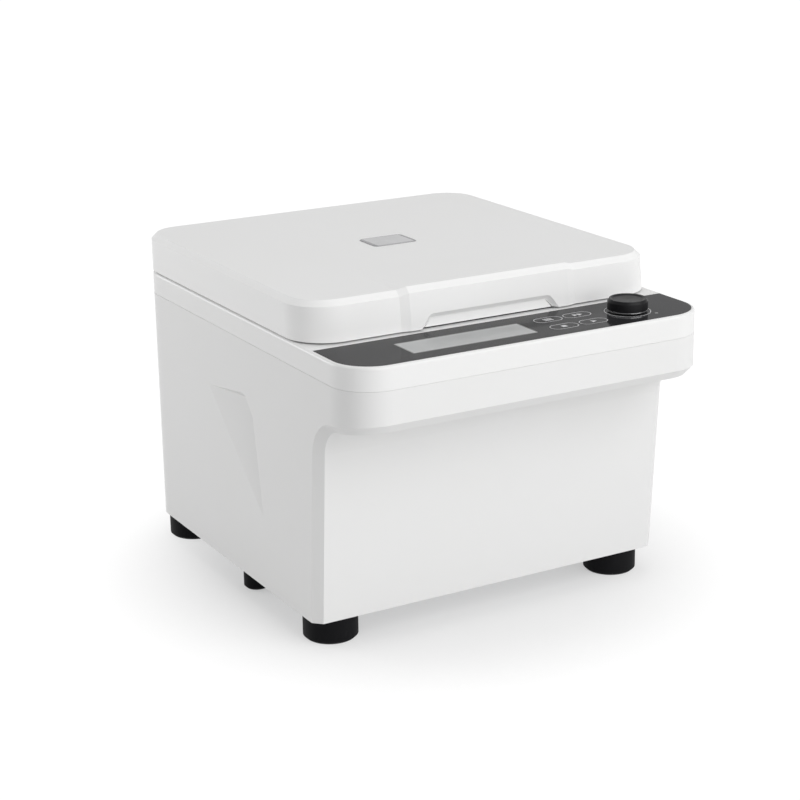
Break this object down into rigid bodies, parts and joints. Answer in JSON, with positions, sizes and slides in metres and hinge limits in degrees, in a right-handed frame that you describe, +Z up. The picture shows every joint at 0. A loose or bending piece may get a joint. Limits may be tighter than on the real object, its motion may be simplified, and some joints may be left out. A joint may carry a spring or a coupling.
{
  "type": "low-speed centrifuge",
  "caption": "Low bench centrifuge with a boxy housing on feet, an overhanging console with display, keys and knob, and a hinged lid with a sight window over an angle rotor.",
  "frame": {"origin": "on the floor under the middle of the outline", "axes": "+Z up, the console faces -Y, +X to the right seen from the front"},
  "size_m": [0.33, 0.394, 0.285],
  "materials": {
    "case_white": "satin moulded plastic",
    "frame_white": "satin moulded plastic",
    "lid_white": "satin moulded plastic",
    "panel_black": "glossy film over a rigid sheet",
    "display_grey": "clear display window",
    "sight_grey": "tinted sight glass",
    "knob_black": "satin",
    "knob_metal": "polished ring",
    "key_black": "satin",
    "black_plastic": "moulded",
    "foot_rubber": "soft black rubber",
    "boot_rubber": "black rubber",
    "seal_rubber": "grey silicone",
    "bowl_steel": "drawn stainless steel",
    "sheet_steel": "zinc-plated steel sheet",
    "dark_steel": "dark paint",
    "rotor_alloy": "anodised",
    "sleeve_alloy": "anodised",
    "machined_steel": "turned steel",
    "board_green": "printed board",
    "copper_motor": "wound core",
    "light_lens": "clear lens",
    "screw_steel": "plated screws"
  },
  "bodies": {
    "case": {"lower_housing": "case_white", "base_plate": "sheet_steel", "foot_front_left": "foot_rubber", "foot_front_right": "foot_rubber", "foot_rear_left": "foot_rubber", "foot_rear_right": "foot_rubber", "centre_feet": "foot_rubber", "rear_panel": "dark_steel", "power_inlet": "black_plastic", "switch_frame": "black_plastic", "upper_frame": "frame_white", "membrane_panel": "panel_black", "lcd_window": "display_grey", "display_module": "black_plastic", "control_board": "board_green", "status_led": "light_lens", "encoder": "black_plastic", "lock_body": "black_plastic", "lock_solenoid": "dark_steel", "hinge_brackets": "machined_steel", "chamber_bowl": "bowl_steel", "bowl_gasket": "seal_rubber", "guard_ring": "sheet_steel", "motor_mount_plate": "sheet_steel", "motor_dampers": "boot_rubber", "motor_end_caps": "rotor_alloy", "motor_housing": "dark_steel", "motor_bearings": "machined_steel", "shaft_boot": "boot_rubber", "case_screws": "screw_steel", "power_board": "board_green"},
    "lid": {"lid_shell": "lid_white", "hinge_pins": "machined_steel", "lid_liner": "sheet_steel", "sight_window": "sight_grey", "inner_window": "sight_grey", "grip_insert": "lid_white", "lid_striker": "machined_steel", "lid_seal": "boot_rubber", "lid_screws": "screw_steel"},
    "rotor": {"drive_shaft": "machined_steel", "motor_armature": "copper_motor", "rotor_body": "rotor_alloy", "rotor_nut": "rotor_alloy", "tube_sleeve_1": "sleeve_alloy", "tube_sleeve_2": "sleeve_alloy", "tube_sleeve_3": "sleeve_alloy", "tube_sleeve_4": "sleeve_alloy", "tube_sleeve_5": "sleeve_alloy", "tube_sleeve_6": "sleeve_alloy"},
    "knob": {"encoder_shaft": "machined_steel", "knob_ring": "knob_metal", "control_knob": "knob_black"},
    "rocker": {"power_rocker": "black_plastic"},
    "bolt": {"lock_bolt": "machined_steel"},
    "key_front_left": {"key_front_left": "key_black"},
    "key_front_right": {"key_front_right": "key_black"},
    "key_rear_left": {"key_rear_left": "key_black"},
    "key_rear_right": {"key_rear_right": "key_black"}
  },
  "joints": [
    {"name": "lid_hinge", "type": "hinge", "parent": "case", "child": "lid", "pos_m": [0, 0.19, 0.258], "axis": [-1, 0, 0], "range_deg": [0, 80]},
    {"name": "rotor_spin", "type": "hinge", "parent": "case", "child": "rotor", "pos_m": [0, 0.036, 0.15], "axis": [0, 0, 1], "continuous": true},
    {"name": "knob_turn", "type": "hinge", "parent": "case", "child": "knob", "pos_m": [0.1062, -0.1628, 0.25], "axis": [0, 0, 1], "continuous": true},
    {"name": "key_front_left_press", "type": "slide", "parent": "case", "child": "key_front_left", "axis": [0, 0, -1], "range_m": [0, 0.0004], "stiffness_N_per_m": 1500},
    {"name": "key_front_right_press", "type": "slide", "parent": "case", "child": "key_front_right", "axis": [0, 0, -1], "range_m": [0, 0.0004], "stiffness_N_per_m": 1500},
    {"name": "key_rear_left_press", "type": "slide", "parent": "case", "child": "key_rear_left", "axis": [0, 0, -1], "range_m": [0, 0.0004], "stiffness_N_per_m": 1500},
    {"name": "key_rear_right_press", "type": "slide", "parent": "case", "child": "key_rear_right", "axis": [0, 0, -1], "range_m": [0, 0.0004], "stiffness_N_per_m": 1500},
    {"name": "rocker_tilt", "type": "hinge", "parent": "case", "child": "rocker", "pos_m": [0.048, 0.191, 0.072], "axis": [1, 0, 0], "range_deg": [0, 16]},
    {"name": "bolt_slide", "type": "slide", "parent": "case", "child": "bolt", "axis": [0, 1, 0], "range_m": [0, 0.008]}
  ]
}
